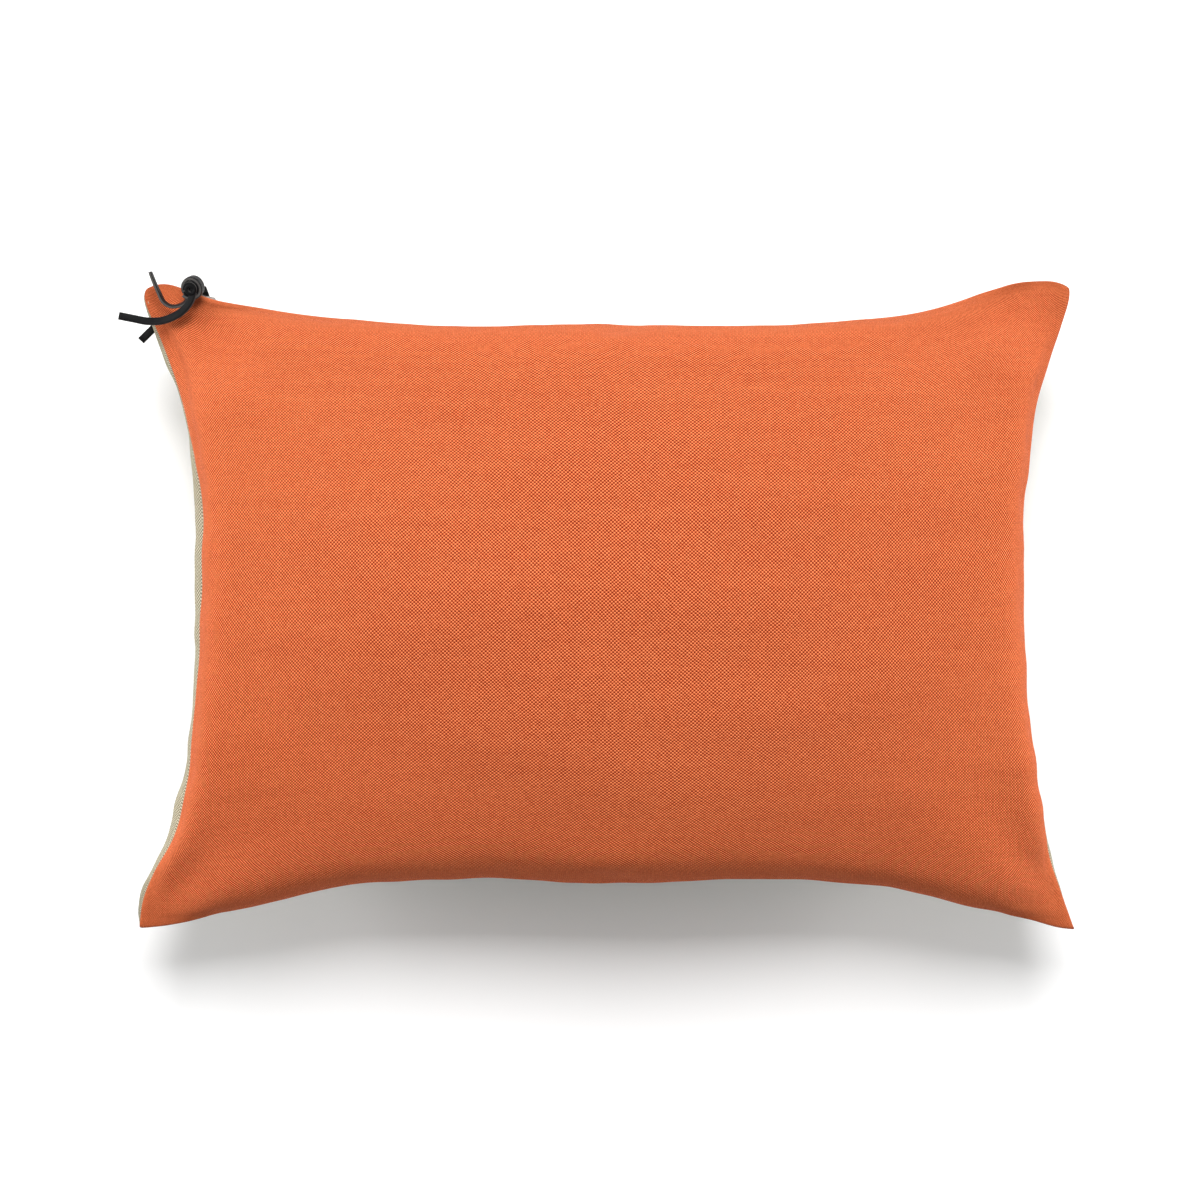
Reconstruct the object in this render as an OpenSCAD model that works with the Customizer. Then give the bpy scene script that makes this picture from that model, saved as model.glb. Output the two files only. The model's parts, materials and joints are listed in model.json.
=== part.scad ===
// A plump zipped cushion that lies on its back panel: a two-coloured cloth cover, the inner pad that
// fills it, and a metal zip whose pull carries two knotted leather laces.
// Millimetres. +Z is up, +X runs along the zip, +Y points to the zipped side, and the origin is on the
// table under the middle of the cushion.

/* [Cushion] */
// Distance between the corner tips along a long side
tip_w = 488; // [460:1:520]
// Distance between the corner tips along a short side
tip_h = 336; // [310:1:360]
// How far the middle of a long side is drawn in from its tips
long_pinch = 25; // [20:0.5:30]
// How far the corner tips stand out past the even curve of the long sides
ear = 4.5; // [0:0.5:8]
// How far the middle of a short side is drawn in from its tips
short_pinch = 30; // [20:1:34]
// Height of the crown above the table
loft = 142; // [125:1:155]
// Height of the seam above the table
seam_z = 62; // [58:1:66]
// Thickness of the cover's cloth
cloth = 0.7; // [0.5:0.1:0.8]
// Width of the seam allowance turned inside the cover
allowance = 5; // [3:0.5:5]

/* [Inner pad] */
// Gap between the seam of the cover and the seam of the pad
pad_inset = 7.5; // [7:0.5:12]
// Thickness of the pad's casing
casing = 0.4; // [0.3:0.1:0.6]

/* [Zip] */
// Position of the closed slider along the cushion
slider_x = -208; // [-210:1:-200]
// Position of the open slider along the cushion
open_x = 198; // [180:1:199]
// Spacing of the teeth in one row
tooth_pitch = 3; // [3:0.5:5]
// Length of a tooth along the zip
tooth_l = 1.25; // [1:0.05:1.3]
// Angle that the pull stands out from the seam
pull_angle = 27; // [20:1:35]

/* [Lace] */
// Width of the flat leather lace
lace_w = 4; // [3.5:0.5:6]
// Thickness of the lace
lace_t = 1.3; // [1:0.1:1.8]

/* [Hidden] */

// Outline: the long sides are arcs of one radius, so that the slider can run along one of them.
half_w = tip_w / 2;
side_x = half_w - short_pinch;
side_y = tip_h / 2 - long_pinch;
arc_rise = long_pinch - ear;
arc_r = half_w * half_w / (2 * arc_rise) + arc_rise / 2;
arc_y = side_y + arc_r;
ear_x = 190;        // where the corners start to stand out from the arcs
side_flare = 2.5;   // power of the flare of a short side towards its tips
fullness = 0.6;     // power of the dome, where 0.5 is an ellipse and 1 is a lens
belly = 1.18;       // how much the underside is pressed flat against the table
cells_x = 32;       // cells of the dome along X
cells_y = 22;       // cells of the dome along Y

// The zip lies behind an opening between the two panels, with its tape's middle this far inside.
opening = 5.5;      // half height of the opening
opening_x = 219;    // half length of its full-height stretch
opening_taper = 17; // length over which it closes at each end
tape_n = -2.1;
tape_t = 0.6;
tape_x = 212;
tape_edge = [[-tape_x, 7.1], [-160, 8.5], [-100, 9.6], [0, 10.2], [100, 9.6], [160, 8.5], [tape_x, 7.1]];
row_h = 3;          // height of a row of teeth from the middle of the chain
row_lap = 0.9;      // how far a row reaches past the middle
tooth_t = 2.4;
first_tooth_x = slider_x + 1.5;
last_tooth_x = open_x + 3.5;
teeth = floor((last_tooth_x - first_tooth_x) / tooth_pitch);

// Slider, in its own frame: x along the zip, y outwards, z across.
plate_out = [-0.5, 0.7];
plate_in = [-4.9, -3.7];
channel = 3.4;      // half width of the channel for the teeth
slot = [-2.6, -1.6]; // slot between the flanges for the tape
bridge_w = 2.2;
pin_y = 1.7;        // the pull's pin, above the outer plate
pin_r = 0.6;
pull_t = 1.2;
eye = [5.4, 8.9];   // where the eye for the lace starts and ends along the pull
eye_w = 6.2;
pull_end = 10.3;
pull_w = 8.6;

// Lace: points from the seam beside the closed slider, with the same axes as the cushion.
knot_at = [-6, 6.5, 16];
knot_axis = [-0.2, -0.35, 0.91];
knot_r = 5.6;
knot_h = 7;
tail_long = [[-5, 4, 18], [-6.5, 0, 17.5], [-9.5, -4, 16], [-14.5, -7.5, 14], [-22.5, -10, 10.5],
    [-30.5, -10, 8], [-38, -8.5, 6.5], [-45.5, -7, 6]];
tail_curled = [[-6, 4.5, 15], [-8.5, 1, 14], [-12, -1.9, 12.5], [-17.3, -2.7, 11.5],
    [-21.5, -0.3, 11], [-24, 4.5, 11], [-26.2, 9.5, 11.5], [-28.3, 15.1, 12]];
tail_under = [[-8.6, 9.8, -6.8], [-12, 5.9, -10.8], [-15.8, 1.5, -12.5], [-21, -3.5, -13.5],
    [-28, -9.5, -12], [-36.5, -18.5, -9]];
tail_behind = [[-4, 9, -7], [-3.7, 6.9, -12.5], [-2.5, 2.1, -16], [-0.5, -5.9, -19],
    [2.5, -13.9, -21.5], [6, -21.9, -25]];

// ---- Cushion ----

// Rise of the zip's arc above its middle, at x, and how far the cover's corners stand out past it.
function rise(x) = arc_r - sqrt(arc_r * arc_r - x * x);
function ear_rise(x) =
    let (t = max(0, min(1, (abs(x) - ear_x) / (half_w - ear_x)))) ear * t * t * (3 - 2 * t);

// Point of the plan at (u, v), each from -1 to 1, for an outline that lies d inside the seam.
function plan(u, v, d) =
    let (x = u * (side_x - d + short_pinch * pow(abs(v), side_flare)))
    [x, v * (side_y - d + rise(x) + ear_rise(x))];

// Share of the zip's opening at x, and its half height at (x, v).
function open_share(x) = max(0, min(1, (opening_x + opening_taper - abs(x)) / opening_taper));
function lift(x, v) = v > 0 ? opening * open_share(x) * pow(v, 6) : 0;

function dome(u, v) = pow(max(0, (1 - u * u) * (1 - v * v)), fullness);

// Point of the upper (side 1) or lower (side -1) surface, d inside the seam and t inside the cloth.
// Its rim is rim_h off the seam's height, and further where gap makes room for the zip.
function skin(u, v, side, d, t, gap, rim_h) =
    let (p = plan(u, v, d), base = rim_h + (gap ? lift(p[0], v) : 0))
    side > 0
    ? [p[0], p[1], seam_z + base + (loft - t - seam_z - base) * dome(u, v)]
    : [p[0], p[1], seam_z - base - (seam_z - t - base) * min(1, belly * dome(u, v))];

// Sine spacing keeps the steep rim of the dome smooth.
function spaced(i, n) = i == 0 ? -1 : i == n ? 1 : sin(90 * (2 * i / n - 1));
function skin_grid(side, d, t, gap = false, rim_h = 0) =
    [for (j = [0:cells_y]) for (i = [0:cells_x])
        skin(spaced(i, cells_x), spaced(j, cells_y), side, d, t, gap, rim_h)];

row_n = cells_x + 1;
grid_n = row_n * (cells_y + 1);
function grid_faces(base, up) =
    [for (j = [0:cells_y - 1]) for (i = [0:cells_x - 1]) each
        let (a = base + j * row_n + i, b = a + 1, c = b + row_n, d = a + row_n)
        up ? [[a, c, b], [a, d, c]] : [[a, b, c], [a, c, d]]];

// Indices round the rim of a grid, anticlockwise seen from above.
rim = concat([for (i = [0:cells_x - 1]) i],
    [for (j = [0:cells_y - 1]) j * row_n + cells_x],
    [for (i = [cells_x:-1:1]) cells_y * row_n + i],
    [for (j = [cells_y:-1:1]) j * row_n]);
rim_n = len(rim);
function rim_faces(flip) =
    [for (k = [0:rim_n - 1]) each
        let (a = rim[k], b = rim[(k + 1) % rim_n], c = b + grid_n, d = a + grid_n)
        flip ? [[a, c, b], [a, d, c]] : [[a, b, c], [a, c, d]]];

// A shell between two skins: side, then the inset and depth of its outer and its inner skin.
module shell(side, d0, t0, d1, t1, gap) {
    up = side > 0;
    polyhedron(points = concat(skin_grid(side, d0, t0, gap), skin_grid(side, d1, t1, gap)),
        faces = concat(grid_faces(0, up), grid_faces(grid_n, !up), rim_faces(!up)),
        convexity = 6);
}

module cover_front() { color("#d9703f") shell(1, 0, 0, cloth, cloth, true); }

module cover_back() { color("#c9b892") shell(-1, 0, 0, cloth, cloth, true); }

// The three sewn sides as [start, end] of a walk: 0 to 1 down the left, 1 to 2 along the bottom and
// 2 to 3 up the right, each stopping short of the tips, where the turned-in cloth is clipped off.
sewn_sides = [[0.08, 0.92], [1.06, 1.94], [2.08, 2.92]];
function walk(k, d) =
    k <= 1 ? plan(-1, 1 - 2 * k, d) : k <= 2 ? plan(2 * k - 3, -1, d) : plan(1, 2 * k - 5, d);

// A flat strip along one sewn side, between insets d0 and d1 and heights z0 and z1.
module strip(side, d0, d1, z0, z1, n = 24) {
    pts = [for (i = [0:n]) each
        let (k = side[0] + (side[1] - side[0]) * i / n, a = walk(k, d0), b = walk(k, d1))
        [[a[0], a[1], z0], [b[0], b[1], z0], [b[0], b[1], z1], [a[0], a[1], z1]]];
    polyhedron(points = pts, faces = concat([[0, 1, 2, 3]],
        [for (i = [0:n - 1]) each let (a = 4 * i) [
            for (q = [0:3]) let (r = (q + 1) % 4) [a + q, a + 4 + q, a + 4 + r, a + r]]],
        [[4 * n + 3, 4 * n + 2, 4 * n + 1, 4 * n]]));
}

module seam_allowance() {
    color("#c98a5c") for (s = sewn_sides)
        strip(s, cloth + 0.2, cloth + 0.2 + allowance, seam_z - 0.7, seam_z + 0.7);
}

module overlock_thread() {
    color("#b8a888") for (s = sewn_sides)
        strip(s, cloth + 0.3 + allowance, cloth + 0.9 + allowance, seam_z - 0.9, seam_z + 0.9);
}

// Lockstitches that show on the turned-in allowance.
module seam_thread() {
    stitch_l = 4;
    color("#b8a888") for (s = sewn_sides, i = [0:33]) {
        k = s[0] + (s[1] - s[0]) * (i + 0.5) / 34;
        a = walk(k - 0.002, cloth + 1.8);
        b = walk(k + 0.002, cloth + 1.8);
        translate([(a[0] + b[0]) / 2, (a[1] + b[1]) / 2, seam_z + 1])
            rotate([0, 0, atan2(b[1] - a[1], b[0] - a[0])])
                cube([stitch_l, 0.5, 0.4], center = true);
    }
}

pad_gap = 0.3;
pad_t = cloth + pad_gap;
module pad_casing_front() {
    color("#efece4") shell(1, pad_inset, pad_t, pad_inset + casing, pad_t + casing, false);
}

module pad_casing_back() {
    color("#efece4") shell(-1, pad_inset, pad_t, pad_inset + casing, pad_t + casing, false);
}

module pad_filling() {
    fill_d = pad_inset + casing + 1.5;
    fill_t = pad_t + casing + 0.6;
    fill_rim = 0.15;
    color("#f7f5ef") polyhedron(
        points = concat(skin_grid(1, fill_d, fill_t, rim_h = fill_rim),
            skin_grid(-1, fill_d, fill_t, rim_h = fill_rim)),
        faces = concat(grid_faces(0, true), grid_faces(grid_n, false), rim_faces(false)),
        convexity = 4);
}

// ---- Zip ----

// Puts its children on the zipped seam at x: their x along the seam, their y outwards.
module on_zip(x) {
    translate([0, arc_y, seam_z]) rotate([0, 0, asin(x / arc_r)]) translate([0, -arc_r, 0]) children();
}

// A band that follows the zipped seam from x0 to x1, from n0 to n1 outwards and z0 to z1 across.
module zip_band(x0, x1, n0, n1, z0, z1) {
    a0 = asin(x0 / arc_r);
    translate([0, arc_y, seam_z]) rotate([0, 0, a0 - 90])
        rotate_extrude(angle = asin(x1 / arc_r) - a0, $fn = 256)
            translate([arc_r - n1, z0]) square([n1 - n0, z1 - z0]);
}

// A tape is widest in the middle of the zip, and follows the cloth as the cushion thins at its ends.
module zip_tape() {
    intersection() {
        zip_band(-tape_x - 1, tape_x + 1, tape_n - tape_t / 2, tape_n + tape_t / 2, row_h, 11);
        translate([0, arc_y, seam_z]) rotate([90, 0, 0]) linear_extrude(arc_r + 10)
            polygon(concat([[-tape_x, 0]], tape_edge, [[tape_x, 0]]));
    }
}

module zip_tape_front() { color("#a89c84") zip_tape(); }

module zip_tape_back() {
    color("#a89c84") translate([0, 0, 2 * seam_z]) mirror([0, 0, 1]) zip_tape();
}

// A tooth from above its row: a head that meets the other row, a waist, and a foot on the tape.
tooth_side = tooth_l / 2;
tooth_outline = [[-tooth_side, -row_lap + 0.3], [-tooth_side + 0.3, -row_lap],
    [tooth_side - 0.3, -row_lap], [tooth_side, -row_lap + 0.3], [tooth_side, 0.9],
    [tooth_side - 0.25, 1.4], [tooth_side, 1.9], [tooth_side, row_h],
    [-tooth_side, row_h], [-tooth_side, 1.9], [-tooth_side + 0.25, 1.4], [-tooth_side, 0.9]];
module tooth() {
    translate([0, tape_n + tooth_t / 2, 0]) rotate([90, 0, 0])
        linear_extrude(tooth_t) polygon(tooth_outline);
}

module zip_teeth_front() {
    color("#8f8f8c") for (i = [0:teeth - 1]) on_zip(first_tooth_x + i * tooth_pitch) tooth();
}

module zip_teeth_back() {
    color("#8f8f8c") for (i = [0:teeth - 1])
        on_zip(first_tooth_x + (i + 0.5) * tooth_pitch) mirror([0, 0, 1]) tooth();
}

module zip_top_stops() {
    stop = [1.8, tooth_t, row_h - 1.6];
    color("#8f8f8c") on_zip(slider_x) for (side = [0, 1]) mirror([0, 0, side])
        translate([-4.4, tape_n - tooth_t / 2, row_h - stop[2]]) cube(stop);
}

module zip_bottom_stop() {
    stop = [3, tooth_t + 0.4, 2 * row_h];
    color("#8f8f8c") on_zip(open_x + 8) translate([-stop[0] / 2, tape_n - stop[1] / 2, -stop[2] / 2])
        cube(stop);
}

// Plan of the slider's plates: wide at the end where the rows part, narrower where they leave.
module slider_plan() {
    hull() for (z = [-1, 1]) {
        translate([-2.6, 2.6 * z]) circle(r = 2, $fn = 32);
        translate([4, 2.9 * z]) circle(r = 1, $fn = 32);
    }
}

// A slice of the slider from y0 to y1, whose children are drawn in plan.
module slice(y) {
    translate([0, y[1], 0]) rotate([90, 0, 0]) linear_extrude(y[1] - y[0]) children();
}

module zip_slider() {
    color("#8a8883") on_zip(slider_x) {
        slice(plate_out) slider_plan();
        slice(plate_in) slider_plan();
        for (y = [[slot[1], plate_out[0]], [plate_in[1], slot[0]]]) slice(y) difference() {
            slider_plan();
            square([20, 2 * channel], center = true);
        }
        slice([plate_in[1], plate_out[0]]) polygon([[-4.6, 0], [-3.6, 1], [-2.2, 0], [-3.6, -1]]);
        translate([0, 0, -bridge_w / 2]) linear_extrude(bridge_w) difference() {
            hull() {
                for (x = [-2.4, 2.4]) translate([x, 2.4]) circle(r = 1.2, $fn = 32);
                translate([-3.6, plate_out[1]]) square([7.2, 0.1]);
            }
            hull() for (x = [-1.5, 1.5]) translate([x, pin_y]) circle(r = 0.95, $fn = 32);
        }
    }
}

// The pull points along -x of the slider before it is turned out by pull_angle.
module zip_pull() {
    color("#8a8883") on_zip(slider_x) translate([0, pin_y, 0]) rotate([0, 0, -pull_angle]) {
        translate([0, 0, -3.2]) cylinder(r = pin_r, h = 6.4, $fn = 48);
        slice([-pull_t / 2, pull_t / 2]) difference() {
            hull() {
                for (z = [-1, 1]) {
                    translate([-pull_end + 1.5, (pull_w / 2 - 1.5) * z]) circle(r = 1.5, $fn = 32);
                    translate([-0.2, 2.8 * z]) circle(r = 0.4, $fn = 32);
                }
            }
            translate([-4.3, -1.45]) square([3.9, 2.9]);
            translate([-eye[1], -eye_w / 2]) square([eye[1] - eye[0], eye_w]);
        }
    }
}

// ---- Lace ----

module beside_slider() {
    translate([slider_x, side_y + rise(slider_x), seam_z]) children();
}

// The turn round the end of the pull's eye, its two legs, and the knot above it.
module lace_knot() {
    a = asin(slider_x / arc_r);
    bar = (eye[1] + pull_end) / 2;
    turn_r = 2.6;
    leg_at = [-5.9, 9.5];
    color("#1c1c1e") {
        on_zip(slider_x) translate([0, pin_y, 0]) rotate([0, 0, -pull_angle]) translate([-bar, 0, 0])
            rotate_extrude($fn = 48) translate([turn_r, 0]) circle(r = 1.1, $fn = 24);
        beside_slider() {
            hull() for (z = [-7, 7]) translate([leg_at[0], leg_at[1], z]) sphere(r = 1.5, $fn = 24);
            hull() {
                translate([leg_at[0], leg_at[1], 7]) sphere(r = 1.5, $fn = 24);
                translate([knot_at[0], knot_at[1] + 1, knot_at[2] - 2]) sphere(r = 2.5, $fn = 24);
            }
            translate(knot_at)
                rotate([0, acos(knot_axis[2] / norm(knot_axis)), atan2(knot_axis[1], knot_axis[0])])
                    cylinder(r = knot_r, h = knot_h, center = true, $fn = 64);
        }
    }
}

function unit(v) = v / norm(v);
function tangent(r, i) = unit(r[min(i + 1, len(r) - 1)] - r[max(i - 1, 0)]);

// A flat lace swept along a route, rolled about it from roll0 to roll1: 0 lies flat, 90 is on edge.
lace_section = [[-0.5, -0.25], [-0.4, -0.5], [0.4, -0.5], [0.5, -0.25],
    [0.5, 0.25], [0.4, 0.5], [-0.4, 0.5], [-0.5, 0.25]];
module lace(route, roll0, roll1) {
    sides = len(lace_section);
    n = len(route);
    pts = [for (i = [0:n - 1]) each
        let (t = tangent(route, i), across = unit(cross([0, 0, 1], t)), up = cross(t, across),
            roll = roll0 + (roll1 - roll0) * i / (n - 1),
            w = across * cos(roll) + up * sin(roll), h = up * cos(roll) - across * sin(roll))
        [for (s = lace_section) route[i] + w * s[0] * lace_w + h * s[1] * lace_t]];
    polyhedron(points = pts, faces = concat(
        [[for (k = [0:sides - 1]) k]],
        [for (i = [0:n - 2]) for (k = [0:sides - 1]) each
            let (a = i * sides + k, b = i * sides + (k + 1) % sides)
            [[a, a + sides, b], [b, a + sides, b + sides]]],
        [[for (k = [sides - 1:-1:0]) (n - 1) * sides + k]]));
}

module lace_tail_long() { color("#1c1c1e") beside_slider() lace(tail_long, 20, 0); }

module lace_tail_curled() { color("#1c1c1e") beside_slider() lace(tail_curled, 60, 80); }

module lace_tail_under() { color("#1c1c1e") beside_slider() lace(tail_under, 0, 0); }

module lace_tail_behind() { color("#1c1c1e") beside_slider() lace(tail_behind, 0, 0); }

cover_front();
cover_back();
seam_allowance();
overlock_thread();
seam_thread();
pad_casing_front();
pad_casing_back();
pad_filling();
zip_tape_front();
zip_tape_back();
zip_teeth_front();
zip_teeth_back();
zip_top_stops();
zip_bottom_stop();
zip_slider();
zip_pull();
lace_knot();
lace_tail_long();
lace_tail_curled();
lace_tail_under();
lace_tail_behind();
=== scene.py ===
import json
from math import atan2, cos, exp, hypot, pi, radians, sin, sqrt

import bmesh
import bpy
import numpy as np
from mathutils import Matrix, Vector, noise


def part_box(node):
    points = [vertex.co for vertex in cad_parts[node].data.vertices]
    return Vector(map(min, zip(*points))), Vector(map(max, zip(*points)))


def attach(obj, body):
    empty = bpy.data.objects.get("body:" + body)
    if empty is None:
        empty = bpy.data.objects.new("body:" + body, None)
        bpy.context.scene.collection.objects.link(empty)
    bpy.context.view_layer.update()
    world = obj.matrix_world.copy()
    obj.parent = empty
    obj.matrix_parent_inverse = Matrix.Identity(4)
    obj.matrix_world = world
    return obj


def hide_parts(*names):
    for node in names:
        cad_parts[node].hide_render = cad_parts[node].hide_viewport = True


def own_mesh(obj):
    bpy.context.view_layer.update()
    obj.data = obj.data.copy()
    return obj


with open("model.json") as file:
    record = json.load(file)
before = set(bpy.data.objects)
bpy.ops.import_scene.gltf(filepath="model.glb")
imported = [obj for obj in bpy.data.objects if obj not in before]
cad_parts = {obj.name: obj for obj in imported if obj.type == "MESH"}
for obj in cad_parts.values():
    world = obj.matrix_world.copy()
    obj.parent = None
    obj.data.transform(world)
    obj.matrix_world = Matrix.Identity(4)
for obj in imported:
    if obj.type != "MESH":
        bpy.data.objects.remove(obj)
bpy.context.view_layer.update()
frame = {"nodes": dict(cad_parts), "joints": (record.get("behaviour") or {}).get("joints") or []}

scene = bpy.context.scene
scene.view_settings.view_transform = "Standard"
MM = 0.001

# The zip's line and the closed slider's place, as the CAD has them.
joints = {j["name"]: j for j in frame["joints"]}
ARC_Y = joints["zip_slide"]["pos_m"][1]
SEAM_Z = joints["zip_slide"]["pos_m"][2]
TIP_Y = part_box("cover_front")[1].y
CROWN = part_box("cover_front")[1].z
LONG_PINCH = 25 * MM
SIDE_Y = TIP_Y - LONG_PINCH
ARC_R = ARC_Y - SIDE_Y
SLIDER_X = -208 * MM


def arc_rise(x):
    """How far the zipped seam at x lies above its middle."""
    return ARC_R - np.sqrt(ARC_R * ARC_R - x * x)


SLIDER_AT = Vector((SLIDER_X, SIDE_Y + float(arc_rise(SLIDER_X)), SEAM_Z))


# ---------- Camera ----------

VIEW_X, VIEW_Y = -0.0039, 0.0034   # the middle of the view
VIEW_WIDTH = 0.6252                # width of the view at the seam's height, in metres


def add_camera():
    data = bpy.data.cameras.new("camera")
    data.lens, data.sensor_width = 85, 36
    cam = bpy.data.objects.new("camera", data)
    cam.location = (VIEW_X, VIEW_Y, SEAM_Z + VIEW_WIDTH * data.lens / data.sensor_width)
    cam.rotation_euler = (0, 0, 0)
    scene.collection.objects.link(cam)
    scene.camera = cam


add_camera()


# ---------- Mesh helpers ----------

def link(mesh, name):
    ob = bpy.data.objects.new(name, mesh)
    scene.collection.objects.link(ob)
    return ob


def smooth(mesh):
    mesh.polygons.foreach_set("use_smooth", [True] * len(mesh.polygons))
    mesh.update()


def catmull(points, per_span):
    """A smooth line through the points."""
    p = [Vector(q) for q in points]
    p = [2 * p[0] - p[1]] + p + [2 * p[-1] - p[-2]]
    out = []
    for i in range(1, len(p) - 2):
        for k in range(per_span):
            t = k / per_span
            a, b, c, d = p[i - 1], p[i], p[i + 1], p[i + 2]
            out.append(0.5 * ((2 * b) + (c - a) * t + (2 * a - 5 * b + 4 * c - d) * t * t
                              + (3 * b - a - 3 * c + d) * t ** 3))
    out.append(p[-2])
    return out


def ramp(values, n):
    """n numbers spread evenly along the values."""
    return np.interp(np.linspace(0, 1, n), np.linspace(0, 1, len(values)), values)


# Cross section of a cut lace: a band with its corners just rounded. The last number marks the cut edge.
LACE_SECTION = [(-0.5, -0.32, 1), (-0.44, -0.5, 0), (-0.2, -0.54, 0), (0.2, -0.54, 0), (0.44, -0.5, 0),
                (0.5, -0.32, 1), (0.5, 0.32, 1), (0.44, 0.5, 0), (0.2, 0.54, 0), (-0.2, 0.54, 0),
                (-0.44, 0.5, 0), (-0.5, 0.32, 1)]


def band(name, line, normals, width, thickness, section=LACE_SECTION):
    """Sweeps a flat section along a line. normals point through its thickness; sizes may vary along it."""
    n, m = len(line), len(section)
    width, thickness = ramp(np.atleast_1d(width), n), ramp(np.atleast_1d(thickness), n)
    verts, edge, dist = [], [], []
    run = 0.0
    for i in range(n):
        tan = (line[min(i + 1, n - 1)] - line[max(i - 1, 0)]).normalized()
        nor = Vector(normals[i])
        nor = (nor - tan * nor.dot(tan)).normalized()
        side = tan.cross(nor)
        run += (line[i] - line[i - 1]).length if i else 0
        for a, b, e in section:
            verts.append(line[i] + side * a * width[i] + nor * b * thickness[i])
            edge.append(e)
            dist.append((run, a * width[i]))
    faces = []
    for i in range(n - 1):
        for k in range(m):
            a, b = i * m + k, i * m + (k + 1) % m
            c, d = (i + 1) * m + (k + 1) % m, (i + 1) * m + k
            faces.append((a, b, c, d))
    faces += [tuple(range(m))[::-1], tuple((n - 1) * m + k for k in range(m))]
    mesh = bpy.data.meshes.new(name)
    mesh.from_pydata([tuple(v) for v in verts], [], faces)
    att = mesh.attributes.new("edge", "FLOAT", "POINT")
    att.data.foreach_set("value", [float(e) for e in edge])
    uv = mesh.uv_layers.new(name="cloth")
    for loop in mesh.loops:
        uv.data[loop.index].uv = dist[loop.vertex_index]
    bm = bmesh.new()
    bm.from_mesh(mesh)
    bmesh.ops.recalc_face_normals(bm, faces=bm.faces)
    bm.to_mesh(mesh)
    bm.free()
    smooth(mesh)
    return link(mesh, name)


# ---------- Laces ----------

LACE_W, LACE_T = 4 * MM, 1.3 * MM

# Routes from the CAD, in millimetres from the seam beside the closed slider.
ROUTES = {
    "lace_tail_long": [(-5, 4, 18), (-6.5, 0, 17.5), (-9.5, -4, 16), (-14.5, -7.5, 14),
                       (-22.5, -10, 10.5), (-30.5, -10, 8), (-38, -8.5, 6.5), (-45.5, -7, 6)],
    "lace_tail_curled": [(-6, 4.5, 15), (-8.5, 1, 14), (-12, -1.9, 12.5), (-17.3, -2.7, 11.5),
                         (-21.5, -0.3, 11), (-24, 4.5, 11), (-26.2, 9.5, 11.5), (-28.3, 15.1, 12)],
    "lace_tail_under": [(-8.6, 9.8, -6.8), (-12, 5.9, -10.8), (-15.8, 1.5, -12.5), (-21, -3.5, -13.5),
                        (-28, -9.5, -12), (-36.5, -18.5, -9)],
    "lace_tail_behind": [(-4, 9, -7), (-3.7, 6.9, -12.5), (-2.5, 2.1, -16), (-0.5, -5.9, -19),
                         (2.5, -13.9, -21.5), (6, -21.9, -25)],
}
# How far each tail is rolled about its own line at its start and its end: 0 lies flat, 90 is on edge.
ROLLS = {"lace_tail_long": (20, 0), "lace_tail_curled": (60, 80),
         "lace_tail_under": (0, 0), "lace_tail_behind": (0, 0)}


def make_tail(node):
    line = catmull([SLIDER_AT + Vector(p) * MM for p in ROUTES[node]], 6)
    rolls = ramp(ROLLS[node], len(line))
    normals = []
    for i in range(len(line)):
        tan = (line[min(i + 1, len(line) - 1)] - line[max(i - 1, 0)]).normalized()
        across = Vector((0, 0, 1)).cross(tan).normalized()
        up = tan.cross(across)
        roll = radians(float(rolls[i]))
        normals.append(up * cos(roll) - across * sin(roll))
    ob = band(node + "_leather", line, normals, LACE_W, LACE_T)
    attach(ob, "pull")
    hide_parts(node)
    return ob


tails = [make_tail(node) for node in ROUTES]

KNOT_AT = SLIDER_AT + Vector((-6, 6.5, 16)) * MM
KNOT_AXIS = Vector((-0.2, -0.35, 0.91)).normalized()
KNOT_X = KNOT_AXIS.cross(Vector((0, 1, 0))).normalized()
KNOT_Y = KNOT_AXIS.cross(KNOT_X)


COIL_TURNS, COIL_STEPS = 2.15, 96
SPIRAL_TURNS, SPIRAL_STEPS = 2.4, 64
CORE_TURNS, CORE_STEPS = 1.4, 40


def knot_point(angle, radius, along):
    return KNOT_AT + (KNOT_X * cos(angle) + KNOT_Y * sin(angle)) * radius + KNOT_AXIS * along


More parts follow.
